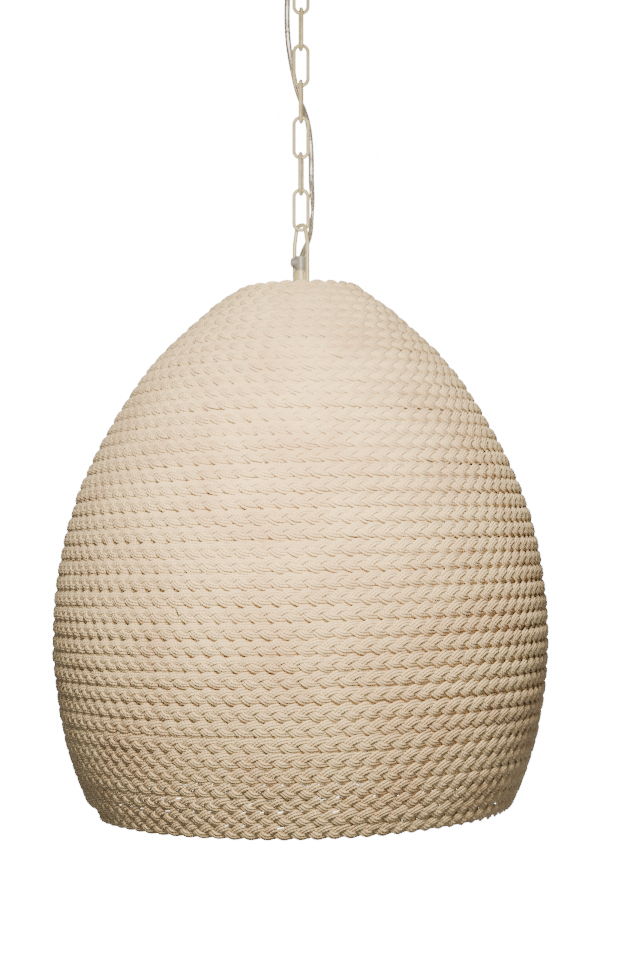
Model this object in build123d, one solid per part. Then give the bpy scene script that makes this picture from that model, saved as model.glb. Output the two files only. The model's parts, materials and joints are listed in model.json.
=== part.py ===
from build123d import *

import math
import os

# Hanging lantern: a plaited-cord dome shade on a wire frame, hung on a chain from a ceiling canopy.
# Millimetres, +Z up. The origin is the middle of the mounting crossbar's top face, in the ceiling
# plane, and the shade hangs straight below it with its axis on Z.

# ---- overall ----
DROP = 840.0  # ceiling plane to the shade's rim
TOUCH = 0.1  # gap left between pieces that are welded, bolted or pressed together
CHAIN_GAP = 0.15  # gap between one link's wire and the next
HOOK_GAP = 0.6  # slack between the bottom link and the lamp's loop, which hooks it at a slant

# ---- shade outline: radius and height above the rim, down the outside of the braid ----
SHADE_OUTLINE = [
    (48.0, 490.0),
    (58.7, 482.0),
    (71.7, 473.0),
    (95.0, 454.0),
    (133.6, 417.0),
    (172.7, 361.0),
    (208.5, 287.0),
    (226.0, 212.0),
    (229.5, 156.0),
    (224.4, 100.0),
    (211.8, 45.0),
    (193.6, 0.0),
]
BRAID_THICKNESS = 7.5
BAND_COUNT = 6  # lengths of plait that the cover is wound from
BAND_GAP = 0.2
BAND_SAMPLES = 7  # points on each band's outer curve

# ---- shade frame ----
RIB_COUNT = 6
RIB_RADIUS = 2.0
RIB_RUNS = 14  # straight runs that each rib's bend is made of, all rounded together
RIM_RING_RADIUS = 2.5
HOOP_SHARES = (0.36, 0.68)  # how far down the outline the two middle hoops sit
ARM_COUNT = 3
ARM_RADIUS = 2.0
HUB_RADIUS = 17.0
HUB_THICKNESS = 2.0
HUB_TOP = 457.0 - DROP
ARM_KNEE = 24.0  # radius where each arm turns up to the top ring
ARM_BEND = 12.0
WASHER_RADIUS = 9.0
WASHER_THICKNESS = 1.4
LAMP_PIPE_END = 444.2  # height above the rim of the lamp pipe's lower end
TOP_RING_AT = 10.0  # distances along the outline from either end to the end rings
RIM_RING_AT = 3.0
RIB_START = 18.0
FRAME_GAP = 0.3  # between the frame's wires and the braid

# ---- chain ----
LINK_COUNT = 7
LINK_WIRE = 1.8
LINK_LENGTH = 41.0
LINK_WIDTH = 16.6
LINK_TURNS = (0.0, 7.0, 0.0, -5.0, 0.0, -9.0, 0.0)  # degrees each link is twisted about Z

# ---- ceiling fitting ----
BAR_LENGTH = 108.0
BAR_WIDTH = 20.0
BAR_THICKNESS = 2.4
SLOT_SPACING = 88.9
SLOT_LENGTH = 12.0
SLOT_RADIUS = 2.5
GROUND_SCREW_X = 20.0
GROUND_HOLE = 2.1
GROUND_SHANK = 2.0
GROUND_HEAD = 3.8  # radius
GROUND_HEAD_HEIGHT = 2.6
SCREW_SLOT = 0.8  # width of every screwdriver slot
PIPE_RADIUS = 4.95  # 1/8 inch lamp pipe
PIPE_BORE = 3.5
PIPE_HOLE = 5.05
NUT_FLATS = 14.0
NUT_HEIGHT = 4.0
CANOPY_RADIUS = 63.5
CANOPY_DEPTH = 27.0
CANOPY_LIP = 6.0
CANOPY_SHEET = 1.2
CANOPY_HOLE = 10.3
CANOPY_FLAT = 20.0  # radius of the flat round the canopy's hole
NECK_RADIUS = 9.5
NECK_TOP = -20.0
NECK_BOTTOM = -37.0
PIPE_END = -31.0
NECK_BORE = 4.6
RING_RADIUS = 15.0
RING_HEIGHT = 6.0
LOOP_ROD = 1.9
LOOP_HALF_WIDTH = 7.4  # middle of each leg from the axis
LOOP_ROOT = 3.0  # how far the legs are set into the neck
LOOP_WIRE_Z = -66.45  # middle of the wire that the top link hangs on

# ---- lamp stem and its loop ----
STEM_RADIUS = 7.4
STEM_BORE = 6.2
STEM_TOP = 499.4 - DROP
STEM_FOOT = 8.0  # height of the stem's thick, threaded foot
STEM_FOOT_WALL = 0.5  # how far the foot's outside reaches into the tube's wall
FIXTURE_ROD = 2.0
FIXTURE_TURN = -50.0  # degrees the loop is twisted about Z
FIXTURE_HALF_WIDTH = STEM_RADIUS + FIXTURE_ROD + 0.03
FIXTURE_TOP_HALF = 5.6  # half the width of the loop's top, before its corners are rounded
FIXTURE_CORNER = 5.0
FIXTURE_FLARE = 24.0  # bend radius where the legs turn upright
FIXTURE_SHOULDER = 18.0  # from the loop's top wire down to where its legs are upright
FIXTURE_LEG_END = 479.0 - DROP
GRIP_RADIUS = 6.0
GRIP_TOP = 513.4 - DROP
GRIP_COLLAR = 3.1  # height of the narrow collar under the grip's body
GRIP_STEP = 0.8  # how far the collar is set in
GRIP_PLUG = 8.0  # length of the grip inside the stem
GRIP_BORE = 2.6
BOSS_DROP = 5.6  # from the grip's top down to the middle of its boss
BOSS_RADIUS = 4.2
BOSS_REACH = 9.6
BOSS_TURN = 190.0
BOSS_BORE = 2.3
GRIP_SCREW_RADIUS = 2.2

# ---- cord ----
CORD_RADIUS = 2.8
LEAD_RADIUS = 1.2
LEAD_OFFSET = 1.3
LEAD_SPLIT = 9.0  # where the conductors part, above the stem's top
LEAD_BEND = 2.0
CORD_ROUTE = [
    (0.0, 0.0, -330.5),
    (1.0, 0.6, -325.0),
    (3.6, 2.2, -318.5),
    (6.8, 4.0, -311.5),
    (8.9, 5.0, -303.5),
    (9.9, 5.2, -293.5),
    (10.8, 5.0, -283.3),
    (10.9, 4.6, -272.0),
    (9.8, 4.3, -261.0),
    (9.5, 4.8, -247.9),
    (9.6, 5.3, -234.8),
    (8.9, 5.6, -221.8),
    (7.9, 6.4, -209.7),
    (6.0, 8.8, -198.5),
    (3.6, 11.2, -189.2),
    (0.0, 12.6, -179.9),
    (-3.4, 11.6, -170.6),
    (-5.9, 8.8, -161.2),
    (-7.9, 6.4, -151.0),
    (-10.0, 5.0, -139.8),
    (-11.8, 4.2, -127.7),
    (-12.8, 3.6, -114.7),
    (-13.1, 3.4, -100.7),
    (-12.8, 3.0, -85.8),
    (-11.6, 2.4, -73.0),
    (-9.8, 2.2, -61.0),
    (-5.6, 1.0, -51.0),
    (-1.8, 0.3, -43.2),
    (-0.2, 0.0, -36.8),
    (0.0, 0.0, -31.3),
]

# ---- lampholder and bulb, heights above the rim ----
CAP_RADIUS = 17.5
CAP_TOP = 449.0
CAP_BOTTOM = 428.0
CAP_SHEET = 1.2
BODY_RADIUS = 16.2
BODY_TOP = 440.0
BODY_BOTTOM = 392.0
BODY_FLOOR = 430.0
TERMINAL_X = 10.0
TERMINAL_HEAD = 2.6  # radius
TERMINAL_SHANK = 1.6
TERMINAL_DEPTH = 6.0
RIVET_RADIUS = 2.0
SHELL_RADIUS = 14.2
SHELL_SHEET = 0.6
BULB_CAP_RADIUS = 13.1
BULB_CAP_TOP = 424.0
BULB_CAP_BOTTOM = 398.0
BULB_RADIUS = 30.0
BULB_BOTTOM = 318.0
GLASS_SHEET = 0.8

os.makedirs("parts", exist_ok=True)


def save(name, *solids):
    """One node: a single solid, or a group of separate ones."""
    shape = solids[0] if len(solids) == 1 else Compound(children=list(solids))
    export_step(shape, f"parts/{name}.step")


def sleeve(outer, inner, low, high):
    """A round tube, washer or ring standing on Z."""
    height = high - low
    return Pos(0, 0, (low + high) / 2) * (Cylinder(outer, height) - Cylinder(inner, height))


def disc(radius, low, high):
    return Pos(0, 0, (low + high) / 2) * Cylinder(radius, high - low)


def corner_radii(points):
    """The largest arc that each corner's two runs leave room for."""
    radii = []
    for before, here, after in zip(points, points[1:], points[2:]):
        arriving, leaving = Vector(here) - Vector(before), Vector(after) - Vector(here)
        half_turn = math.radians(arriving.get_angle(leaving)) / 2
        radii.append(0.45 * min(arriving.length, leaving.length) / math.tan(half_turn))
    return radii


def round_rod(points, radius, radii):
    """A round rod along straight runs joined by tangent arcs."""
    path = FilletPolyline(*points, radius=radii)
    return sweep(Plane(origin=path @ 0, z_dir=path % 0) * Circle(radius), path=path)


def turned(edges):
    """A closed section, drawn as radius and height, spun round Z."""
    return revolve(Plane.XZ * make_face(edges), Axis.Z)


def hex_nut(bore, low):
    flats_to_corner = NUT_FLATS / 2 / math.cos(math.pi / 6)
    blank = extrude(RegularPolygon(flats_to_corner, 6) - Circle(bore), NUT_HEIGHT)
    return Pos(0, 0, low) * blank


def at_height(points):
    """Outline points, given as radius and height above the rim, in the XZ plane."""
    return [(radius, 0, height - DROP) for radius, height in points]


# ---- outline of the shade ----
OUTLINE = Spline(*at_height(SHADE_OUTLINE))


def inside_outline(distance, depth):
    """Radius and Z of a point under the outline, measured along it and square to it."""
    place = OUTLINE.position_at(distance, position_mode=PositionMode.LENGTH)
    along = OUTLINE.tangent_at(distance, position_mode=PositionMode.LENGTH)
    return place.X + depth * along.Z, place.Z - depth * along.X


# ---- ceiling fitting ----
def make_crossbar():
    bar = SlotOverall(BAR_LENGTH, BAR_WIDTH) - Circle(PIPE_HOLE)
    for side in (-1, 1):
        bar -= Pos(side * SLOT_SPACING / 2, 0) * SlotOverall(SLOT_LENGTH, 2 * SLOT_RADIUS)
    bar -= Pos(GROUND_SCREW_X, 0) * Circle(GROUND_HOLE)
    return Pos(0, 0, -BAR_THICKNESS) * extrude(bar, BAR_THICKNESS)


def make_ground_screw():
    """Slotted pan-head screw, its head under the crossbar."""
    head_top = -BAR_THICKNESS - TOUCH
    head_low = head_top - GROUND_HEAD_HEIGHT
    head = disc(GROUND_HEAD, head_low, head_top)
    slot = Pos(0, 0, head_low + 0.5) * Box(2 * GROUND_HEAD, SCREW_SLOT, 1.0)
    shank = disc(GROUND_SHANK, head_top, -TOUCH)
    return Pos(GROUND_SCREW_X, 0, 0) * (head - slot + shank)


def make_canopy():
    """Spun dish: an upright lip, a quarter-ellipse shoulder and a flat with a hole."""

    def outline(inset):
        side, bottom = CANOPY_RADIUS - inset, CANOPY_DEPTH - inset
        shoulder = EllipticalCenterArc(
            (CANOPY_FLAT, -CANOPY_LIP),
            side - CANOPY_FLAT,
            bottom - CANOPY_LIP,
            start_angle=270,
            arc_size=90,
        )
        return (
            Line((CANOPY_HOLE, -bottom), (CANOPY_FLAT, -bottom))
            + shoulder
            + Line((side, -CANOPY_LIP), (side, 0))
        )

    outer, inner = outline(0), outline(CANOPY_SHEET)
    ends = [Line(outer @ 0, inner @ 0), Line(outer @ 1, inner @ 1)]
    return turned(outer.edges() + inner.edges() + ends)


def make_canopy_loop():
    """Threaded neck with a bent-rod loop set into its foot."""
    neck = sleeve(NECK_RADIUS, NECK_BORE, NECK_BOTTOM, NECK_TOP)
    neck -= disc(PIPE_HOLE, PIPE_END, NECK_TOP)
    turn = LOOP_WIRE_Z + LOOP_HALF_WIDTH
    half, root = LOOP_HALF_WIDTH, NECK_BOTTOM + LOOP_ROOT
    path = (
        Line((0, half, root), (0, half, turn))
        + ThreePointArc((0, half, turn), (0, 0, LOOP_WIRE_Z), (0, -half, turn))
        + Line((0, -half, turn), (0, -half, root))
    )
    bow = sweep(Plane(origin=(0, half, root), z_dir=(0, 0, -1)) * Circle(LOOP_ROD), path=path)
    return neck + bow


def make_supply_leads():
    """The cord's two conductors, parted, running up the pipe to the outlet box."""
    return [
        Pos(side * LEAD_OFFSET, 0, 0) * disc(LEAD_RADIUS, PIPE_END, 0) for side in (-1, 1)
    ]


ring_top = -CANOPY_DEPTH - TOUCH
nut_low = -BAR_THICKNESS - TOUCH - NUT_HEIGHT
save("mounting_crossbar", make_crossbar())
save("ground_screw", make_ground_screw())
save("canopy_nipple", sleeve(PIPE_RADIUS, PIPE_BORE, PIPE_END + TOUCH, 0))
save("nipple_lock_nut", hex_nut(PIPE_HOLE, nut_low))
save("canopy_loop", make_canopy_loop())
save("supply_leads", *make_supply_leads())
save("canopy", make_canopy())
save("canopy_ring", sleeve(RING_RADIUS, NECK_RADIUS + TOUCH, ring_top - RING_HEIGHT, ring_top))


# ---- chain ----
link_reach = LINK_LENGTH - 2 * LINK_WIRE  # from the top wire's middle to the bottom wire's
link_pitch = link_reach - 2 * LINK_WIRE - CHAIN_GAP
first_link_top = LOOP_WIRE_Z + LOOP_ROD + LINK_WIRE + CHAIN_GAP
link_tops = [first_link_top - link_pitch * n for n in range(LINK_COUNT)]
last_wire = link_tops[-1] - link_reach  # the wire that the lamp's loop hangs on


def make_link():
    """Oval link in the XZ plane, hanging down from its top wire's middle."""
    bend = LINK_WIDTH / 2 - LINK_WIRE
    high, low = -bend, bend - link_reach
    path = (
        Line((bend, 0, high), (bend, 0, low))
        + ThreePointArc((bend, 0, low), (0, 0, -link_reach), (-bend, 0, low))
        + Line((-bend, 0, low), (-bend, 0, high))
        + ThreePointArc((-bend, 0, high), (0, 0, 0), (bend, 0, high))
    )
    return sweep(Plane(origin=(bend, 0, high), z_dir=(0, 0, -1)) * Circle(LINK_WIRE), path=path)


link = make_link()
for number, top in enumerate(link_tops, 1):
    across = 0 if number % 2 else 90  # every other link stands edge-on
    save(f"chain_link_{number}", Pos(0, 0, top) * Rot(0, 0, across + LINK_TURNS[number - 1]) * link)


# ---- cord: one run from the grip to the canopy's neck, parted where each link bends it ----
cord_radii = corner_radii(CORD_ROUTE)
cord = round_rod(CORD_ROUTE, CORD_RADIUS, cord_radii)
print("cord bend radii, mm:", " ".join(f"{radius:.0f}" for radius in cord_radii))
link_middles = [top - link_reach / 2 for top in link_tops]
cord_cuts = [0.0, *link_middles, STEM_TOP]
for number, (high, low) in enumerate(zip(cord_cuts, cord_cuts[1:]), 1):
    slab = Pos(0, 0, (high + low) / 2) * Box(60, 60, high - low)
    save(f"cord_{number}", (cord & slab).solids()[0])


# ---- stem, loop, grip and leads ----
def make_fixture_loop():
    """Hairpin of round rod that hooks the bottom link, its legs brazed to the stem."""
    top = last_wire + LINK_WIRE + FIXTURE_ROD + HOOK_GAP
    shoulder = top - FIXTURE_SHOULDER
    right_side = [(FIXTURE_TOP_HALF, 0, top), (FIXTURE_HALF_WIDTH, 0, shoulder)]
    right_side.append((FIXTURE_HALF_WIDTH, 0, FIXTURE_LEG_END))
    left_side = [(-x, y, z) for x, y, z in reversed(right_side)]
    bends = [FIXTURE_FLARE, FIXTURE_CORNER, FIXTURE_CORNER, FIXTURE_FLARE]
    rod = round_rod(left_side + right_side, FIXTURE_ROD, bends)
    return Rot(0, 0, FIXTURE_TURN) * rod


def make_stem():
    tube = sleeve(STEM_RADIUS, STEM_BORE, HUB_TOP, STEM_TOP)
    return tube + sleeve(STEM_BORE + STEM_FOOT_WALL, PIPE_HOLE, HUB_TOP, HUB_TOP + STEM_FOOT)


boss = Rot(0, 0, BOSS_TURN) * Pos(0, 0, GRIP_TOP - BOSS_DROP) * Rot(0, 90, 0)


def make_grip():
    """Nylon cord grip: a round body on a collar, with a rounded boss for its screw."""
    body = disc(GRIP_RADIUS, STEM_TOP + GRIP_COLLAR, GRIP_TOP)
    body = fillet(body.edges().sort_by(Axis.Z)[-1], 0.8)
    collar = disc(GRIP_RADIUS - GRIP_STEP, STEM_TOP, STEM_TOP + GRIP_COLLAR)
    plug = disc(STEM_BORE - TOUCH, STEM_TOP - GRIP_PLUG, STEM_TOP)
    knob = fillet(disc(BOSS_RADIUS, 0, BOSS_REACH).edges().sort_by(Axis.Z)[-1], 1.6)
    grip = body + collar + plug + boss * knob
    grip -= disc(GRIP_BORE, STEM_TOP - GRIP_PLUG, GRIP_TOP)
    return grip - boss * disc(BOSS_BORE, GRIP_BORE, BOSS_REACH)


def make_grip_screw():
    """Slotted nylon screw that presses on the cord."""
    outer_end = BOSS_REACH - 0.6
    screw = disc(GRIP_SCREW_RADIUS, GRIP_BORE + 3 * TOUCH, outer_end)
    slot = Pos(0, 0, outer_end) * Box(2 * BOSS_BORE, SCREW_SLOT, 2.0)
    return boss * (screw - slot)


def make_lamp_leads():
    """The two conductors, parted in the grip, running down the stem to the terminals."""
    start, turn = STEM_TOP + LEAD_SPLIT, BODY_TOP + 2.0 - DROP
    leads = []
    for side in (-1, 1):
        route = [
            (side * LEAD_OFFSET, 0, start),
            (side * LEAD_OFFSET, 0, turn),
            (side * (TERMINAL_X - TERMINAL_HEAD - TOUCH), 0, turn),
        ]
        leads.append(round_rod(route, LEAD_RADIUS, [LEAD_BEND]))
    return leads


save("fixture_loop", make_fixture_loop())
save("stem_tube", make_stem())
save("cord_grip", make_grip())
save("cord_grip_screw", make_grip_screw())
save("lamp_leads", *make_lamp_leads())

# ---- what clamps the lampholder and the frame to the stem ----
hub_low = HUB_TOP - HUB_THICKNESS - TOUCH
washer_low = hub_low - WASHER_THICKNESS - TOUCH
cap_top = CAP_TOP - DROP
save("lamp_nipple", sleeve(PIPE_RADIUS, PIPE_BORE, LAMP_PIPE_END - DROP, HUB_TOP + STEM_FOOT))
save("frame_hub", sleeve(HUB_RADIUS, PIPE_HOLE, hub_low, HUB_TOP - TOUCH))
save("hub_washer", sleeve(WASHER_RADIUS, PIPE_HOLE, washer_low, hub_low - TOUCH))
save("hub_nut", hex_nut(PIPE_HOLE, washer_low - TOUCH - NUT_HEIGHT))

# ---- frame: hub, arms, top ring, ribs, hoops and rim ring ----
outline_length = OUTLINE.length
rib_depth = BRAID_THICKNESS + RIB_RADIUS + FRAME_GAP
hoop_depth = rib_depth + 2 * RIB_RADIUS + FRAME_GAP + TOUCH
rim_depth = BRAID_THICKNESS + RIM_RING_RADIUS + FRAME_GAP
top_ring_r, top_ring_z = inside_outline(TOP_RING_AT, rib_depth)
rim_ring_r, rim_ring_z = inside_outline(outline_length - RIM_RING_AT, rim_depth)


def make_rib():
    """A wire bent to the shade's outline, from the top ring down to the rim ring."""
    first = RIB_START
    last = outline_length - RIM_RING_AT - RIM_RING_RADIUS - RIB_RADIUS
    step = (last - first) / RIB_RUNS
    points = [inside_outline(first + step * n, rib_depth - TOUCH) for n in range(RIB_RUNS + 1)]
    points = [(radius, 0, z) for radius, z in points]
    reach = Vector(points[0]) - Vector(top_ring_r, 0, top_ring_z)
    start = Vector(top_ring_r, 0, top_ring_z) + reach.normalized() * (RIB_RADIUS + TOUCH)
    points = [tuple(start), *points[1:]]
    return round_rod(points, RIB_RADIUS, corner_radii(points))


def make_arm():
    """A spoke lying on the hub and rising to the top ring."""
    level = HUB_TOP + ARM_RADIUS
    ring = Vector(top_ring_r, 0, top_ring_z)
    knee = Vector(ARM_KNEE, 0, level)
    end = ring - (ring - knee).normalized() * (RIB_RADIUS + TOUCH)
    route = [(STEM_RADIUS + 1.5, 0, level), tuple(knee), tuple(end)]
    return round_rod(route, ARM_RADIUS, [ARM_BEND])


def wire_ring(radius, z, wire):
    return Pos(0, 0, z) * Torus(radius, wire)


arm = make_arm()
arm_angles = [FIXTURE_TURN + 90 + 360 / ARM_COUNT * n for n in range(ARM_COUNT)]
save("frame_arms", *[Rot(0, 0, angle) * arm for angle in arm_angles])
save("frame_top_ring", wire_ring(top_ring_r, top_ring_z, RIB_RADIUS))
save("frame_bottom_ring", wire_ring(rim_ring_r, rim_ring_z, RIM_RING_RADIUS))
for number, share in enumerate(HOOP_SHARES, 1):
    hoop_r, hoop_z = inside_outline(share * outline_length, hoop_depth)
    save(f"frame_hoop_{number}", wire_ring(hoop_r, hoop_z, RIB_RADIUS))
rib = make_rib()
for number in range(RIB_COUNT):
    save(f"frame_rib_{number + 1}", Rot(0, 0, 30 + 360 / RIB_COUNT * number) * rib)


# ---- lampholder ----
def make_socket_cap():
    outer = disc(CAP_RADIUS, CAP_BOTTOM - DROP, cap_top)
    outer = fillet(outer.edges().sort_by(Axis.Z)[-1], 5.0)
    inner = disc(CAP_RADIUS - CAP_SHEET, CAP_BOTTOM - DROP, cap_top - CAP_SHEET)
    inner = fillet(inner.edges().sort_by(Axis.Z)[-1], 5.0 - CAP_SHEET)
    return outer - inner - disc(PIPE_HOLE, BODY_TOP - DROP, cap_top + 1)


def make_socket_body():
    body = disc(BODY_RADIUS, BODY_BOTTOM - DROP, BODY_TOP - DROP)
    body += disc(CAP_RADIUS, BODY_BOTTOM - DROP, CAP_BOTTOM - TOUCH - DROP)
    body -= disc(SHELL_RADIUS + TOUCH, BODY_BOTTOM - DROP, BODY_FLOOR - DROP)
    body = chamfer(body.edges().filter_by(GeomType.CIRCLE).sort_by(Axis.Z)[0], 0.8)
    for side in (-1, 1):
        hole = disc(TERMINAL_SHANK + TOUCH, BODY_TOP - TERMINAL_DEPTH - DROP, BODY_TOP - DROP)
        body -= Pos(side * TERMINAL_X, 0, 0) * hole
    return body - disc(RIVET_RADIUS + 2 * TOUCH, BODY_FLOOR - DROP, BODY_TOP - DROP)


def make_socket_contact():
    """Brass tongue with the rivet that carries it through the floor."""
    tongue = Pos(4.0, 0, BODY_FLOOR - 0.5 - DROP) * Box(14, 5, 0.6)
    dimple = disc(3.0, BODY_FLOOR - 2.2 - DROP, BODY_FLOOR - 0.6 - DROP)
    return tongue + dimple + disc(RIVET_RADIUS, BODY_FLOOR - 0.6 - DROP, BODY_TOP - 1 - DROP)


def make_terminal_screws():
    head = disc(TERMINAL_HEAD, BODY_TOP + 0.6 - DROP, BODY_TOP + 3.4 - DROP)
    head -= Pos(0, 0, BODY_TOP + 3.0 - DROP) * Box(3 * TERMINAL_HEAD, SCREW_SLOT, 1.0)
    shank_low = BODY_TOP - TERMINAL_DEPTH + 1 - DROP
    screw = head + disc(TERMINAL_SHANK, shank_low, BODY_TOP + 0.6 - DROP)
    return [Pos(side * TERMINAL_X, 0, 0) * screw for side in (-1, 1)]


save("socket_cap", make_socket_cap())
save("socket_body", make_socket_body())
shell_low, shell_high = BODY_BOTTOM + 2 - DROP, BODY_FLOOR - 1 - DROP
save("socket_shell", sleeve(SHELL_RADIUS, SHELL_RADIUS - SHELL_SHEET, shell_low, shell_high))
save("socket_contact", make_socket_contact())
save("terminal_screws", *make_terminal_screws())


# ---- bulb ----
def make_bulb_glass():
    """Pear-shaped envelope, closed round the foot of its stem."""
    middle = BULB_BOTTOM + BULB_RADIUS

    def outline(inset):
        ball, neck = BULB_RADIUS - inset, 12.4 - inset
        join = (ball * math.cos(math.radians(35)), middle + ball * math.sin(math.radians(35)))
        side = (neck, BULB_CAP_BOTTOM - 4)
        low = (0, middle - ball)
        round_end = ThreePointArc(low, (ball * math.cos(0.5), middle - ball * math.sin(0.5)), join)
        flank = Spline(join, side, tangents=[(-0.574, 0.819), (0, 1)])
        return round_end + flank + Line(side, (neck, BULB_CAP_TOP - 2 - inset))

    outer, inner = outline(0), outline(GLASS_SHEET)
    top = BULB_CAP_TOP - 2
    ends = [
        Line(outer @ 0, inner @ 0),
        Line(outer @ 1, (0, top)),
        Line((0, top), (0, top - GLASS_SHEET)),
        Line((0, top - GLASS_SHEET), inner @ 1),
    ]
    return Pos(0, 0, -DROP) * turned(outer.edges() + inner.edges() + ends)


def make_bulb_filaments():
    """Four upright light-emitting sticks round the glass post."""
    stick = disc(0.9, 340 - DROP, 372 - DROP)
    return [Rot(0, 0, 45 + 90 * n) * Pos(7.5, 0, 0) * stick for n in range(4)]


bulb_top = BULB_CAP_TOP - DROP
bulb_cap = disc(BULB_CAP_RADIUS, BULB_CAP_BOTTOM - DROP, bulb_top)
bulb_cap -= disc(BULB_CAP_RADIUS - 0.5, BULB_CAP_BOTTOM - DROP, bulb_top - 0.5)
bulb_cap -= disc(8.0, bulb_top - 0.5, bulb_top)
insulator = Pos(0, 0, bulb_top + 1.1) * Cone(7.9, 5.0, 2.0)
glass_post = disc(2.2, 378 - DROP, BULB_CAP_TOP - 3.2 - DROP) + disc(5.5, 374 - DROP, 378 - DROP)
save("bulb_cap", bulb_cap)
save("bulb_insulator", insulator)
save("bulb_contact", disc(4.4, bulb_top + 2.2, bulb_top + 3.2))
save("bulb_glass", make_bulb_glass())
save("bulb_stem", glass_post)
save("bulb_filaments", *make_bulb_filaments())


# ---- braid cover ----
def make_band(first, last):
    """One wound length of plait, between two distances down the outline."""
    step = (last - first) / (BAND_SAMPLES - 1)
    outer, inner = [], []
    for n in range(BAND_SAMPLES):
        outer.append(inside_outline(first + step * n, 0))
        inner.append(inside_outline(first + step * n, BRAID_THICKNESS))
    edges = [Spline(*outer), Spline(*inner)]
    edges += [Line(outer[0], inner[0]), Line(outer[-1], inner[-1])]
    return turned(edges)


band_length = outline_length / BAND_COUNT
for number in range(BAND_COUNT):
    first = band_length * number
    save(f"braid_band_{number + 1}", make_band(first, first + band_length - BAND_GAP))
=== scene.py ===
import json
import math

import bpy
import numpy as np
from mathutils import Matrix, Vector


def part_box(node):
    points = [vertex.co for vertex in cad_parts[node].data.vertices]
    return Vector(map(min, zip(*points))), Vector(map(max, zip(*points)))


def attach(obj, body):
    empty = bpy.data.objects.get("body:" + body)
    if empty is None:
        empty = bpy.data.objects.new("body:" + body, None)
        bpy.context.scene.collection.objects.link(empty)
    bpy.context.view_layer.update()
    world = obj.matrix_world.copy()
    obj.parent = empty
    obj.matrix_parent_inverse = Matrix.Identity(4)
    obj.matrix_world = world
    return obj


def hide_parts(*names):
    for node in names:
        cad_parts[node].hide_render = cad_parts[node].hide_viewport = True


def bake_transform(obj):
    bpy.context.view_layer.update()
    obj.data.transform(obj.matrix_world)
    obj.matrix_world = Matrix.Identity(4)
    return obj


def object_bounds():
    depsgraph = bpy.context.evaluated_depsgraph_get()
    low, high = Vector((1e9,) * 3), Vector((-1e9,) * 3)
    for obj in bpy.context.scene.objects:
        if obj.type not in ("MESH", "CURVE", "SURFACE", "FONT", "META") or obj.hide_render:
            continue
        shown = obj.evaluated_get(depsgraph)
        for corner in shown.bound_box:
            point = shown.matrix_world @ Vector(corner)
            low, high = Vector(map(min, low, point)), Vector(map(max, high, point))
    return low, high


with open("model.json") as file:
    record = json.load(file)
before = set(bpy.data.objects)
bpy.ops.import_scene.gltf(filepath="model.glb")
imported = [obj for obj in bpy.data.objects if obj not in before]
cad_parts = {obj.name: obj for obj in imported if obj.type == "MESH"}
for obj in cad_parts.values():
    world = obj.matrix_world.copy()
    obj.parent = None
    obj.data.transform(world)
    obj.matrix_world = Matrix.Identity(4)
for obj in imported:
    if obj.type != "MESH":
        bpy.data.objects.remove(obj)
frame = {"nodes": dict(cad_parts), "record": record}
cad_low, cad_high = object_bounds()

# Hanging lantern: a plaited-cord dome shade on a wire frame, hung on a chain with a clear cord.
# Metres, +Z up, with the ceiling at z = 0.
nodes = frame["nodes"]
MM = 0.001
rim_z = cad_low.z  # the shade's rim; the ceiling plane is z = 0
CHAIN_LINKS = 7

# ---- camera: level with the middle of the shade, looking straight at it ----
EYE_ABOVE_RIM = 0.240
CAMERA_DISTANCE = 1.6
FRAME_HEIGHT = 0.894  # what the frame covers at the lantern's axis
FRAME_SHIFT = 0.073  # how far the frame's middle is above eye level, as a part of its height
AXIS_OFFSET = 0.0177  # how far to the left of the frame's middle the lantern hangs
FILM_LONG_SIDE = 36.0
camera_data = bpy.data.cameras.new("camera")
camera_data.sensor_width = FILM_LONG_SIDE
camera_data.lens = FILM_LONG_SIDE * CAMERA_DISTANCE / FRAME_HEIGHT
camera_data.shift_y = FRAME_SHIFT
camera = bpy.data.objects.new("camera", camera_data)
camera.location = (AXIS_OFFSET, -CAMERA_DISTANCE, rim_z + EYE_ABOVE_RIM)
camera.rotation_euler = (math.pi / 2, 0, 0)
bpy.context.scene.collection.objects.link(camera)
bpy.context.scene.camera = camera


# ---- mesh building ----
def add_object(name, data, material):
    piece = bpy.data.objects.new(name, data)
    bpy.context.scene.collection.objects.link(piece)
    data.materials.append(material)
    return piece


def loft_faces(rings, sides):
    """Quads that join a stack of rings, and the two end caps, as loops and face sizes."""
    ring = np.arange(rings - 1)[:, None] * sides
    side = np.arange(sides)[None, :]
    onward = (side + 1) % sides
    quads = np.stack([ring + side, ring + onward, ring + sides + onward, ring + sides + side], -1)
    last = (rings - 1) * sides
    loops = np.concatenate([quads.ravel(), np.arange(sides)[::-1], last + np.arange(sides)])
    return loops, np.concatenate([np.full(last, 4), [sides, sides]])


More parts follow.
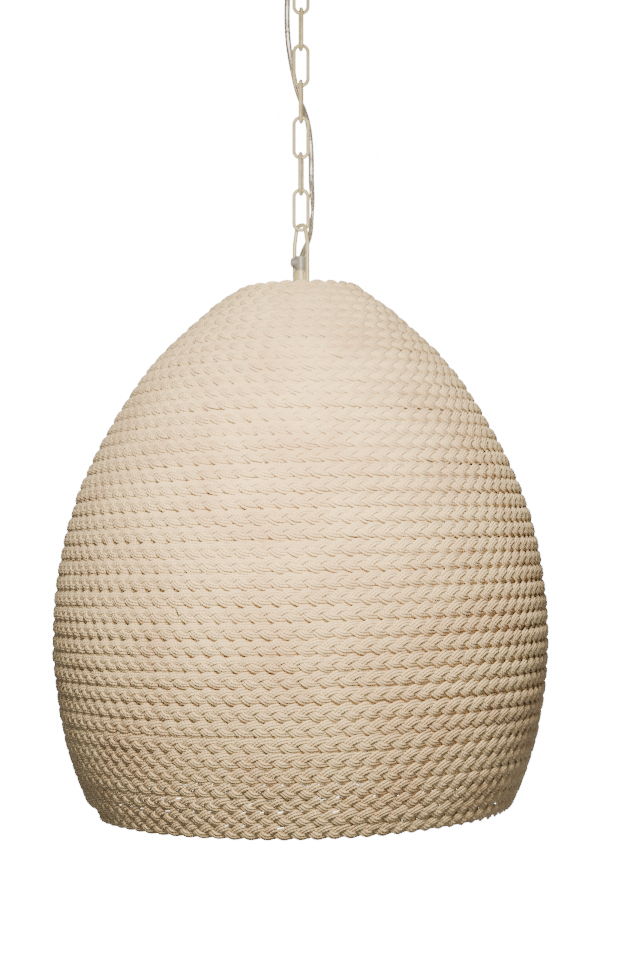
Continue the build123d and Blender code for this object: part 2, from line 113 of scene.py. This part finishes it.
def mesh_from_lofts(name, lofts):
    """One mesh from lofts, each an array of rings x sides x 3, with UVs along and round each."""
    points, loops, sizes, uvs, base = [], [], [], [], 0
    for rings in lofts:
        count, sides = rings.shape[:2]
        face_loops, face_sizes = loft_faces(count, sides)
        middle = rings.mean(1)
        along = np.concatenate([[0], np.cumsum(np.linalg.norm(np.diff(middle, axis=0), axis=1))])
        quads = face_loops[: (count - 1) * sides * 4].reshape(-1, 4)
        u = along[quads // sides]
        v = (quads % sides) / sides
        v[:, 1:3][(quads % sides)[:, 1:3] == 0] = 1.0
        quad_uv = np.stack([u, v], -1).reshape(-1, 2)
        uvs += [quad_uv, np.zeros((2 * sides, 2))]
        points.append(rings.reshape(-1, 3))
        loops.append(face_loops + base)
        sizes.append(face_sizes)
        base += count * sides
    points, loops = np.concatenate(points), np.concatenate(loops)
    sizes, uvs = np.concatenate(sizes), np.concatenate(uvs)
    data = bpy.data.meshes.new(name)
    data.vertices.add(len(points))
    data.vertices.foreach_set("co", points.astype(np.float32).ravel())
    data.loops.add(len(loops))
    data.loops.foreach_set("vertex_index", loops.astype(np.int32))
    data.polygons.add(len(sizes))
    starts = np.concatenate([[0], np.cumsum(sizes)[:-1]])
    data.polygons.foreach_set("loop_start", starts.astype(np.int32))
    data.polygons.foreach_set("use_smooth", np.ones(len(sizes), bool))
    data.uv_layers.new(name="along")
    data.uv_layers["along"].data.foreach_set("uv", uvs.astype(np.float32).ravel())
    data.update(calc_edges=True)
    data.validate()
    return data


def circle(radius, sides):
    around = np.arange(sides) * 2 * math.pi / sides
    return radius * np.stack([np.cos(around), np.sin(around)], -1)


def swept_rings(line, section, up, twist=None):
    """The section, as (across, up) points, set square to a line and turned by twist, in radians."""
    ahead = np.gradient(line, axis=0)
    ahead /= np.linalg.norm(ahead, axis=1)[:, None]
    across = np.cross(ahead, up)
    across /= np.linalg.norm(across, axis=1)[:, None]
    over = np.cross(across, ahead)
    if twist is not None:
        c, s = np.cos(twist)[:, None], np.sin(twist)[:, None]
        across, over = across * c + over * s, over * c - across * s
    a, b = section[:, 0][None, :, None], section[:, 1][None, :, None]
    return line[:, None] + across[:, None] * a + over[:, None] * b


# ---- materials ----
PLY_TURNS = 250.0  # stripes a metre along each cotton cord


def new_material(name, color, roughness, **settings):
    """A Principled material with its constant values set on the shader itself."""
    material = bpy.data.materials.new(name)
    material.use_nodes = True
    shader = material.node_tree.nodes["Principled BSDF"]
    shader.inputs["Base Color"].default_value = (*color, 1)
    shader.inputs["Roughness"].default_value = roughness
    for socket, value in settings.items():
        shader.inputs[socket.replace("_", " ")].default_value = value
    material.diffuse_color = (*color, 1)
    return material


def add_node(material, kind, **values):
    node = material.node_tree.nodes.new(kind)
    for key, value in values.items():
        if key in node.inputs:
            node.inputs[key].default_value = value
        else:
            setattr(node, key, value)
    return node


def join(material, source, target):
    material.node_tree.links.new(source, target)


def shader_of(material):
    return material.node_tree.nodes["Principled BSDF"]


def noise(material, scale, detail=3.0):
    texture = add_node(material, "ShaderNodeTexNoise", Scale=scale, Detail=detail)
    coordinates = add_node(material, "ShaderNodeTexCoord").outputs["Object"]
    join(material, coordinates, texture.inputs["Vector"])
    return texture.outputs["Fac"]


def ramp(material, source, *stops):
    """A colour ramp of (place, colour) stops."""
    node = add_node(material, "ShaderNodeValToRGB")
    elements = node.color_ramp.elements
    while len(elements) < len(stops):
        elements.new(0.5)
    for element, (place, color) in zip(elements, stops):
        element.position = place
        element.color = (*color, 1)
    join(material, source, node.inputs["Fac"])
    return node.outputs["Color"]


def bump(material, source, distance, strength=1.0, under=None):
    node = add_node(material, "ShaderNodeBump", Strength=strength, Distance=distance)
    join(material, source, node.inputs["Height"])
    if under is not None:
        join(material, under, node.inputs["Normal"])
    join(material, node.outputs["Normal"], shader_of(material).inputs["Normal"])
    return node.outputs["Normal"]


def painted(name, color, worn, roughness=0.42):
    """Brushed-on satin paint: slightly uneven colour and a faint orange-peel surface."""
    material = new_material(name, color, roughness)
    shader_of(material).inputs["Specular IOR Level"].default_value = 0.45
    tint = ramp(material, noise(material, 90.0), (0.35, worn), (0.62, color))
    join(material, tint, shader_of(material).inputs["Base Color"])
    bump(material, noise(material, 900.0, 2.0), 0.00012, 0.5)
    return material


def cotton():
    """Matt twisted cord: a cream that drifts from place to place, and the twist of its plies."""
    light, dark = (0.77, 0.60, 0.345), (0.66, 0.475, 0.27)
    material = new_material("cotton_cord", light, 0.95, Sheen_Weight=0.25, Sheen_Roughness=0.6)
    shader_of(material).inputs["Specular IOR Level"].default_value = 0.15
    drift = ramp(material, noise(material, 22.0, 6.0), (0.32, dark), (0.6, light))
    join(material, drift, shader_of(material).inputs["Base Color"])
    uv = add_node(material, "ShaderNodeUVMap", uv_map="along").outputs["UV"]
    plies = add_node(material, "ShaderNodeTexWave", Scale=1.0, Distortion=1.2, Detail=1.0)
    plies.bands_direction = "DIAGONAL"
    stretch = add_node(material, "ShaderNodeMapping")
    stretch.inputs["Scale"].default_value = (PLY_TURNS, 1.0, 1.0)
    join(material, uv, stretch.inputs["Vector"])
    join(material, stretch.outputs["Vector"], plies.inputs["Vector"])
    twist = bump(material, plies.outputs["Fac"], 0.0003, 1.0)
    bump(material, noise(material, 1500.0, 2.0), 0.00012, 0.6, twist)
    return material


def brushed(name, color, roughness=0.34):
    """Bare metal that is smoother in some places than in others."""
    material = new_material(name, color, roughness, Metallic=1.0)
    smooth, dull = (roughness - 0.08,) * 3, (roughness + 0.14,) * 3
    rough = ramp(material, noise(material, 140.0, 4.0), (0.3, smooth), (0.7, dull))
    join(material, rough, shader_of(material).inputs["Roughness"])
    bump(material, noise(material, 1400.0, 2.0), 0.00006, 0.4)
    return material


def moulded(name, color, roughness, **settings):
    """Plastic, glass or enamel with a very fine uneven surface."""
    material = new_material(name, color, roughness, **settings)
    bump(material, noise(material, 500.0, 2.0), 0.00008, 0.4)
    return material


braid_material = cotton()
cream = painted("cream_paint", (0.45, 0.395, 0.235), (0.36, 0.31, 0.175), 0.3)
tan_paint = painted("frame_paint", (0.66, 0.55, 0.40), (0.56, 0.46, 0.33), 0.5)
nylon = moulded("nylon", (0.19, 0.19, 0.18), 0.38, Subsurface_Weight=0.25, Subsurface_Scale=0.002)
lead_vinyl = moulded("lead_vinyl", (0.83, 0.80, 0.72), 0.2)
zinc = brushed("zinc_steel", (0.62, 0.62, 0.62))
brass = brushed("brass", (0.78, 0.60, 0.30), 0.3)
socket_brass = brushed("socket_brass", (0.74, 0.58, 0.33), 0.36)
nickel = brushed("bulb_shell", (0.72, 0.71, 0.69), 0.26)
phenolic = moulded("phenolic", (0.045, 0.032, 0.026), 0.3)
green = painted("green_paint", (0.05, 0.26, 0.09), (0.04, 0.20, 0.07), 0.35)
black_glass = moulded("black_glass", (0.012, 0.012, 0.012), 0.12)
bulb_glass = new_material("bulb_glass", (1, 1, 1), 0.02, Transmission_Weight=1.0, IOR=1.02)
stem_glass = new_material("stem_glass", (0.95, 0.97, 0.96), 0.05, Transmission_Weight=1.0, IOR=1.45)
phosphor = moulded("phosphor", (0.86, 0.58, 0.12), 0.5)
clear_vinyl = new_material("clear_vinyl", (0.42, 0.385, 0.33), 0.14, Transmission_Weight=0.72, IOR=1.5)
copper = brushed("copper_strands", (0.24, 0.13, 0.08), 0.3)
tinned = brushed("tinned_strands", (0.34, 0.33, 0.31), 0.28)
braze = brushed("braze", (0.50, 0.25, 0.13), 0.45)

SLOT_MATERIALS = {
    "cream_paint": cream,
    "frame_paint": tan_paint,
    "braid": braid_material,
    "clear_cord": clear_vinyl,
    "lead": lead_vinyl,
    "nylon": nylon,
    "zinc_steel": zinc,
    "green_screw": green,
    "phenolic": phenolic,
    "socket_metal": socket_brass,
    "brass": brass,
    "bulb_shell": nickel,
    "black_glass": black_glass,
    "clear_glass": bulb_glass,
    "filament": phosphor,
}
for subpart in frame["record"]["subparts"]:
    for slot in nodes[subpart["node"]].material_slots:
        slot.material = SLOT_MATERIALS[subpart["material_slot"]]
for slot in nodes["bulb_stem"].material_slots:
    slot.material = stem_glass


# ---- the lamp's cord: flat clear twin, woven up through the chain ----
CORD_WIDTH = 5.6 * MM
LOBE = CORD_WIDTH / 4  # radius of each half of the cord
WEB_HALF_ANGLE = math.radians(146)  # where each lobe meets the web between them
LOBE_POINTS = 15
CONDUCTOR = 1.0 * MM  # radius of each bundle of strands
CONDUCTOR_SIDES = 10
NEAREST_TO_CUT = 0.2 * MM  # route points closer to a cut than this are left out
# millimetres, from the grip up to the canopy: the route that the cord's solids follow
CORD_ROUTE = [
    (0.0, 0.0, -330.5),
    (1.0, 0.6, -325.0),
    (3.6, 2.2, -318.5),
    (6.8, 4.0, -311.5),
    (8.9, 5.0, -303.5),
    (9.9, 5.2, -293.5),
    (10.8, 5.0, -283.3),
    (10.9, 4.6, -272.0),
    (9.8, 4.3, -261.0),
    (9.5, 4.8, -247.9),
    (9.6, 5.3, -234.8),
    (8.9, 5.6, -221.8),
    (7.9, 6.4, -209.7),
    (6.0, 8.8, -198.5),
    (3.6, 11.2, -189.2),
    (0.0, 12.6, -179.9),
    (-3.4, 11.6, -170.6),
    (-5.9, 8.8, -161.2),
    (-7.9, 6.4, -151.0),
    (-10.0, 5.0, -139.8),
    (-11.8, 4.2, -127.7),
    (-12.8, 3.6, -114.7),
    (-13.1, 3.4, -100.7),
    (-12.8, 3.0, -85.8),
    (-11.6, 2.4, -73.0),
    (-9.8, 2.2, -61.0),
    (-5.6, 1.0, -51.0),
    (-1.8, 0.3, -43.2),
    (-0.2, 0.0, -36.8),
    (0.0, 0.0, -31.3),
]
# the flat cord's turn about its own line, in degrees, at heights in millimetres; at 0 it lies
# flat to the front
CORD_TWIST = [
    (-331, 10),
    (-305, 40),
    (-283, 80),
    (-262, 25),
    (-235, -15),
    (-205, 20),
    (-180, 60),
    (-150, 20),
    (-110, -10),
    (-80, 15),
    (-31, 0),
]


def cord_centreline():
    """Points along the cord's route, from the grip up, read from a curve."""
    curve = bpy.data.curves.new("cord_route", "CURVE")
    curve.dimensions = "3D"
    curve.resolution_u = 8
    spline = curve.splines.new("NURBS")
    spline.points.add(len(CORD_ROUTE) - 1)
    for point, place in zip(spline.points, CORD_ROUTE):
        point.co = (*(c * MM for c in place), 1)
    spline.order_u = 3
    spline.use_endpoint_u = True
    route = bpy.data.objects.new("cord_route", curve)
    bpy.context.scene.collection.objects.link(route)
    bpy.context.view_layer.update()
    line = bpy.data.meshes.new_from_object(route)
    points = np.array([v.co for v in line.vertices], float)
    bpy.data.objects.remove(route)
    bpy.data.meshes.remove(line)
    return points


def twin_section():
    """Two round lobes joined by a web, as (across, up) points."""
    around = np.linspace(-WEB_HALF_ANGLE, WEB_HALF_ANGLE, LOBE_POINTS)
    right = LOBE * np.stack([1 + np.cos(around), np.sin(around)], -1)
    return np.concatenate([right, -right])


def cut_line(points, low, high):
    """The part of a rising line between two heights, with a point made at each cut."""
    z = points[:, 2]
    ends = [[np.interp(h, z, points[:, i]) for i in range(3)] for h in (low, high)]
    inside = points[(z > low + NEAREST_TO_CUT) & (z < high - NEAREST_TO_CUT)]
    return np.array([ends[0], *inside, ends[1]])


def make_cord_pieces():
    """One piece of cord for each hinge that it crosses, cut at the middles of the links."""
    whole = cord_centreline()
    heights, turns = np.array(CORD_TWIST, float).T
    link_boxes = [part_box(f"chain_link_{n}") for n in range(1, CHAIN_LINKS + 1)]
    cuts = [whole[-1, 2]] + [(low.z + high.z) / 2 for low, high in link_boxes] + [whole[0, 2]]
    for number, (high, low) in enumerate(zip(cuts, cuts[1:]), 1):
        line = cut_line(whole, low, high)
        twist = np.radians(np.interp(line[:, 2] / MM, heights, turns))
        front = np.tile((0.0, -1.0, 0.0), (len(line), 1))
        skin = mesh_from_lofts(f"cord_skin_{number}", [swept_rings(line, twin_section(), front, twist)])
        piece = add_object(f"cord_skin_{number}", skin, clear_vinyl)
        cores = []
        for side in (-1, 1):
            core = circle(CONDUCTOR, CONDUCTOR_SIDES) + (side * LOBE, 0)
            cores.append(swept_rings(line, core, front, twist))
        wires = add_object(f"cord_wires_{number}", mesh_from_lofts(f"cord_wires_{number}", cores), copper)
        wires.data.materials.append(tinned)
        half = len(wires.data.polygons) // 2
        for polygon in wires.data.polygons[half:]:
            polygon.material_index = 1
        for made in (piece, wires):
            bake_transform(made)
        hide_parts(f"cord_{number}")


make_cord_pieces()


# ---- the shade's outline: radius and height above the rim, in millimetres, as in the CAD ----
OUTLINE_SPAN_POINTS = 60
SHADE_OUTLINE = [
    (48.0, 490.0),
    (58.7, 482.0),
    (71.7, 473.0),
    (95.0, 454.0),
    (133.6, 417.0),
    (172.7, 361.0),
    (208.5, 287.0),
    (226.0, 212.0),
    (229.5, 156.0),
    (224.4, 100.0),
    (211.8, 45.0),
    (193.6, 0.0),
]


def spline_through(points):
    """A natural cubic through the points, sampled evenly by its chord-length parameter."""
    points = np.array(points, float)
    chord = np.concatenate([[0], np.cumsum(np.linalg.norm(np.diff(points, axis=0), axis=1))])
    gap, count = np.diff(chord), len(points)
    system, right = np.eye(count), np.zeros_like(points)
    for i in range(1, count - 1):
        system[i, i - 1 : i + 2] = gap[i - 1], 2 * (gap[i - 1] + gap[i]), gap[i]
        right[i] = 6 * ((points[i + 1] - points[i]) / gap[i] - (points[i] - points[i - 1]) / gap[i - 1])
    bend = np.linalg.solve(system, right)
    t = np.linspace(0, chord[-1], OUTLINE_SPAN_POINTS * (count - 1) + 1)
    i = np.clip(np.searchsorted(chord, t, side="right") - 1, 0, count - 2)
    a, b, h = (chord[i + 1] - t)[:, None], (t - chord[i])[:, None], gap[i][:, None]
    return (
        (bend[i] * a**3 + bend[i + 1] * b**3) / (6 * h)
        + (points[i] / h - bend[i] * h / 6) * a
        + (points[i + 1] / h - bend[i + 1] * h / 6) * b
    )


outline = spline_through(SHADE_OUTLINE) * MM + (0, rim_z)
outline_at = np.concatenate([[0], np.cumsum(np.linalg.norm(np.diff(outline, axis=0), axis=1))])
OUTLINE_LENGTH = outline_at[-1]
slope = np.gradient(outline, outline_at, axis=0)
slope /= np.linalg.norm(slope, axis=1)[:, None]


def on_outline(distance, height):
    """Radius and z of points a distance down the outline and a height out from it.

    Past its ends the outline runs on straight."""
    held = np.clip(distance, 0, OUTLINE_LENGTH)
    past = distance - held
    radius, z, along_r, along_z = (
        np.interp(held, outline_at, values) for values in (*outline.T, *slope.T)
    )
    return radius + past * along_r - height * along_z, z + past * along_z + height * along_r


# ---- braid: three strands of three cords, plaited and wound from the rim to the top ----
rng = np.random.default_rng(11)
COURSE_PITCH = 13.4 * MM
PLAIT_PERIOD = 43.8 * MM
STRANDS = 3
CORDS_IN_STRAND = (-1, 0, 1)  # each cord's place, counted from its strand's middle one
STRAND_SWING = 5.0 * MM  # how far a strand crosses to each side
SQUARENESS = 0.1  # how much flatter than a sine each strand runs at the edges
STRAND_LIFT = 1.55 * MM  # how far a strand rises over another and dips under it
STRAND_CROWN = 0.2 * MM  # how far a strand's outer cords lie below its middle one
CORD_SPACING = 2.1 * MM
CORD_THICK = 1.22 * MM  # radius
PLAIT_HALF_WIDTH = 7 * MM
PLAIT_DEPTH = 2.7 * MM  # from the outline in to the plait's middle
EDGE_DROP = 2.3 * MM  # how far the plait's edges curl inward
SAMPLES_PER_PERIOD = 18
SAMPLES_PER_TURN = 720
CORD_SIDES = 6
BRAID_PIECES = 12
START_ANGLE = math.radians(203)  # where the lowest course begins
WINDING_TILT = 0.010  # how much higher the courses lie towards +X
RIM_CROWDING = 0.07  # how much closer the courses lie at the rim
CROWDED_COURSES = 4  # how many courses that fades over
CLOSE_COURSES = 5  # courses above the rim that are wound tight
TIGHT_WIDENING = 0.08  # how much wider the plait lies where it is tight
TIGHT_STEADYING = 0.6  # how much less it strays to the side there
TIGHT_LEVELLING = 0.5  # how much less its edges curl there
LOOSE_PLACE = math.radians(311)  # where the lowest courses have slackened
LOOSE_SPREAD = math.radians(13)
LOOSE_COURSES = 1.8
LOOSENING = 0.9
# unevenness, each as the spacing of its random values along the plait, in metres, and their size
TURN_DRIFT = (0.3, 0.012)
SIDE_JITTER = (0.05, 0.22 * MM)
SIDE_DRIFT = (0.25, 0.25 * MM)
WIDTH_DRIFT = (0.07, 0.045)
PROUD_DRIFT = (0.06, 0.25 * MM)
CORD_JITTER = (0.03, 0.12 * MM)
WIDEST, NARROWEST = -0.02, 0.14  # limits on how much the width drift narrows the plait


def smooth_noise(at, spacing, size):
    """Random values of a given size, spaced along a line and eased from one to the next."""
    knots = rng.normal(0, size, int(at[-1] / spacing) + 3)
    place = at / spacing
    i = place.astype(int)
    f = place - i
    f = f * f * (3 - 2 * f)
    return knots[i] * (1 - f) + knots[i + 1] * f


def wind_course():
    """The plait's own line: angle round the axis, distance down the outline and distance run."""
    turns = (OUTLINE_LENGTH - COURSE_PITCH) / COURSE_PITCH
    angle = np.linspace(0, 2 * math.pi * turns, int(turns * SAMPLES_PER_TURN))
    courses = angle / (2 * math.pi)
    crowded = RIM_CROWDING * CROWDED_COURSES * (1 - np.exp(-courses / CROWDED_COURSES))
    courses = courses * (1 + crowded[-1] / turns) - crowded
    down = OUTLINE_LENGTH - COURSE_PITCH / 2 - COURSE_PITCH * courses
    radius, _ = on_outline(down, -PLAIT_DEPTH)
    run = np.concatenate([[0], np.cumsum(np.diff(angle) * (radius[1:] + radius[:-1]) / 2)])
    return angle, down, run


course_angle, course_down, course_run = wind_course()
samples = int(course_run[-1] / PLAIT_PERIOD * SAMPLES_PER_PERIOD)
run = np.linspace(0, course_run[-1], samples)
angle = START_ANGLE + np.interp(run, course_run, course_angle)
down = np.interp(run, course_run, course_down)
down -= WINDING_TILT * on_outline(down, 0)[0] * np.cos(angle)
phase = 2 * math.pi * run / PLAIT_PERIOD + np.cumsum(smooth_noise(run, *TURN_DRIFT))
shift = smooth_noise(run, *SIDE_JITTER) + smooth_noise(run, *SIDE_DRIFT)
courses_up = (OUTLINE_LENGTH - down) / COURSE_PITCH
tight = np.clip(2 - courses_up / CLOSE_COURSES, 0, 1)
from_loose = (angle - LOOSE_PLACE + math.pi) % (2 * math.pi) - math.pi
slack = np.exp(-((from_loose / LOOSE_SPREAD) ** 2)) * (courses_up < LOOSE_COURSES)
tight *= 1 - LOOSENING * slack
uneven_width = np.clip(smooth_noise(run, *WIDTH_DRIFT), WIDEST, NARROWEST)
width = 1 - uneven_width * (1 - tight) + TIGHT_WIDENING * tight
shift *= 1 - TIGHT_STEADYING * tight
proud = smooth_noise(run, *PROUD_DRIFT)


def cord_line(strand, cord):
    """The middle line of one cotton cord, from the rim to the top."""
    theta = phase + 2 * math.pi * strand / STRANDS
    loose = smooth_noise(run, *CORD_JITTER)
    across = STRAND_SWING * (np.sin(theta) + SQUARENESS * np.sin(3 * theta))
    swing_rate = np.cos(theta) + 3 * SQUARENESS * np.cos(3 * theta)
    tilt = np.arctan(STRAND_SWING * swing_rate * 2 * math.pi / PLAIT_PERIOD)
    beside = CORD_SPACING * cord
    along = -beside * np.sin(tilt)
    across = (across + beside * np.cos(tilt)) * width + loose
    lift = STRAND_LIFT * np.sin(2 * theta) - STRAND_CROWN * cord * cord
    lift = lift - EDGE_DROP * (1 - TIGHT_LEVELLING * tight) * (across / PLAIT_HALF_WIDTH) ** 2
    radius, z = on_outline(down - across - shift, lift + proud - PLAIT_DEPTH)
    middle_radius, _ = on_outline(down, -PLAIT_DEPTH)
    turn = angle + along / middle_radius
    return np.stack([radius * np.cos(turn), radius * np.sin(turn), z], -1)


def make_braid():
    """The winding as pieces end to end, each with its highest and lowest place on the outline."""
    down_r, down_z = (np.interp(down, outline_at, values) for values in slope.T)
    outward = np.stack([-down_z * np.cos(angle), -down_z * np.sin(angle), down_r], -1)
    rings = []
    section = circle(CORD_THICK, CORD_SIDES)
    for strand in range(STRANDS):
        for cord in CORDS_IN_STRAND:
            rings.append(swept_rings(cord_line(strand, cord), section, outward))
    cuts = np.linspace(0, samples - 1, BRAID_PIECES + 1).astype(int)
    made = []
    for number, (first, last) in enumerate(zip(cuts, cuts[1:]), 1):
        name = f"plait_{number:02d}"
        data = mesh_from_lofts(name, [r[first : last + 1] for r in rings])
        piece = add_object(name, data, braid_material)
        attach(piece, "lamp")
        made.append((piece, down[last], down[first]))
    return made


BANDS = 6  # the CAD's closed bands, hidden, with the plait drawn in their place
wound = make_braid()
for band in range(BANDS):
    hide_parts(f"braid_band_{band + 1}")


# ---- small marks of the making: a butt seam on each link, braze on the stem's loop ----
SEAM_WIRE = 0.13 * MM  # radius
FIXTURE_ROD = 2.0 * MM  # radius of the loop's rod
BRAZE_TURN = math.radians(14)  # from a leg's middle to the fillet beside it, round the stem
BRAZE_INSET = 1.3 * MM
BRAZE_WIDTH = 0.9 * MM
SMEAR_TURN = math.radians(17)
SMEAR_RADIUS = 7.9 * MM  # from the stem's axis
SMEAR_DROP = 2.9 * MM  # below the stem's top
SMEAR_SIZE = (1.0 * MM, 0.8 * MM, 2.4 * MM)
seam_paint = painted("seam_paint", (0.50, 0.41, 0.28), (0.42, 0.34, 0.22))


def make_link_seams():
    wire = (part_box("chain_link_1")[1].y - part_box("chain_link_1")[0].y) / 2
    for number in range(1, CHAIN_LINKS + 1):
        low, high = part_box(f"chain_link_{number}")
        middle, reach = (low + high) / 2, (high - low) / 2
        side = Vector((reach.x - wire, 0, 0)) if number % 2 else Vector((0, reach.y - wire, 0))
        bpy.ops.mesh.primitive_torus_add(
            location=middle + side,
            major_radius=wire - SEAM_WIRE / 2,
            minor_radius=SEAM_WIRE,
            major_segments=24,
            minor_segments=6,
        )
        seam = bpy.context.object
        seam.name = f"link_seam_{number}"
        seam.data.materials.append(seam_paint)
        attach(seam, f"link_{number}")


def add_bead(name, place, size, material):
    bpy.ops.mesh.primitive_uv_sphere_add(segments=20, ring_count=12, location=place)
    bead = bpy.context.object
    bead.name = name
    bead.scale = size
    bead.data.materials.append(material)
    bpy.ops.object.transform_apply(location=False, rotation=False, scale=True)
    bpy.ops.object.shade_smooth()
    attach(bead, "lamp")


def make_braze():
    """Fillets of braze where the loop's legs lie on the stem, and a bare copper smear on one."""
    loop_low, loop_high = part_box("fixture_loop")
    stem_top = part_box("stem_tube")[1].z
    leg = Vector((loop_high.x, loop_low.y, 0)) - Vector((1, -1, 0)) * FIXTURE_ROD
    leg_radius = leg.length
    lead = math.atan2(leg.y, leg.x)
    length = (stem_top - loop_low.z) / 2
    for index, around in enumerate((lead, lead + math.pi)):
        for side in (-1, 1):
            turn = around + side * BRAZE_TURN
            place = Vector((math.cos(turn), math.sin(turn), 0)) * (leg_radius - BRAZE_INSET)
            place.z = stem_top - length
            add_bead(f"braze_{index}_{side + 1}", place, (BRAZE_WIDTH, BRAZE_WIDTH, length), cream)
    turn = lead - SMEAR_TURN
    smear = Vector((math.cos(turn), math.sin(turn), 0)) * SMEAR_RADIUS
    smear.z = stem_top - SMEAR_DROP
    add_bead("braze_smear", smear, SMEAR_SIZE, braze)


make_link_seams()
make_braze()


# ---- stage and light ----
FLOOR_DROP = 3.2  # below the rim
WORLD_GREY = 0.20  # brightness of the room
BACKDROP_WHITE = 16.0  # brightness of the backdrop behind the lamp
BACKDROP_EDGE = 0.90  # the Y part of a ray's direction where the backdrop begins
BACKDROP_FULL = 0.934  # and where it is at its full brightness
bpy.ops.mesh.primitive_plane_add(size=8, location=(0, 0, rim_z - FLOOR_DROP))
floor = bpy.context.object
floor.name = "floor"
floor.data.materials.append(new_material("floor", (0.8, 0.8, 0.8), 0.9))


def area_light(name, location, size, power, target, color):
    """A round lamp of a diameter in metres and a power in watts, turned to face the target."""
    data = bpy.data.lights.new(name, "AREA")
    data.shape = "DISK"
    data.size = size
    data.energy = power
    data.color = color
    light = bpy.data.objects.new(name, data)
    light.location = location
    light.rotation_euler = (Vector(target) - Vector(location)).to_track_quat("-Z", "Y").to_euler()
    bpy.context.scene.collection.objects.link(light)


world = bpy.data.worlds.new("world")
world.use_nodes = True
bpy.context.scene.world = world
background = world.node_tree.nodes["Background"]
background.inputs["Color"].default_value = (1, 1, 1, 1)
coordinates = world.node_tree.nodes.new("ShaderNodeTexCoord")
split = world.node_tree.nodes.new("ShaderNodeSeparateXYZ")
fade = world.node_tree.nodes.new("ShaderNodeMapRange")
fade.interpolation_type = "SMOOTHSTEP"
fade.inputs["From Min"].default_value = BACKDROP_EDGE
fade.inputs["From Max"].default_value = BACKDROP_FULL
fade.inputs["To Min"].default_value = WORLD_GREY
fade.inputs["To Max"].default_value = BACKDROP_WHITE
world.node_tree.links.new(coordinates.outputs["Generated"], split.inputs["Vector"])
world.node_tree.links.new(split.outputs["Y"], fade.inputs["Value"])
world.node_tree.links.new(fade.outputs["Result"], background.inputs["Strength"])
shade_middle, shade_upper = (0, 0, rim_z + 0.25), (0, 0, rim_z + 0.33)
key_place, fill_place = (-0.02, -0.66, rim_z + 0.53), (1.7, -2.0, rim_z + 0.5)
area_light("key", key_place, 0.24, 13.5, shade_upper, (1.0, 0.87, 0.65))
area_light("fill", fill_place, 1.2, 3, shade_middle, (1.0, 0.86, 0.70))
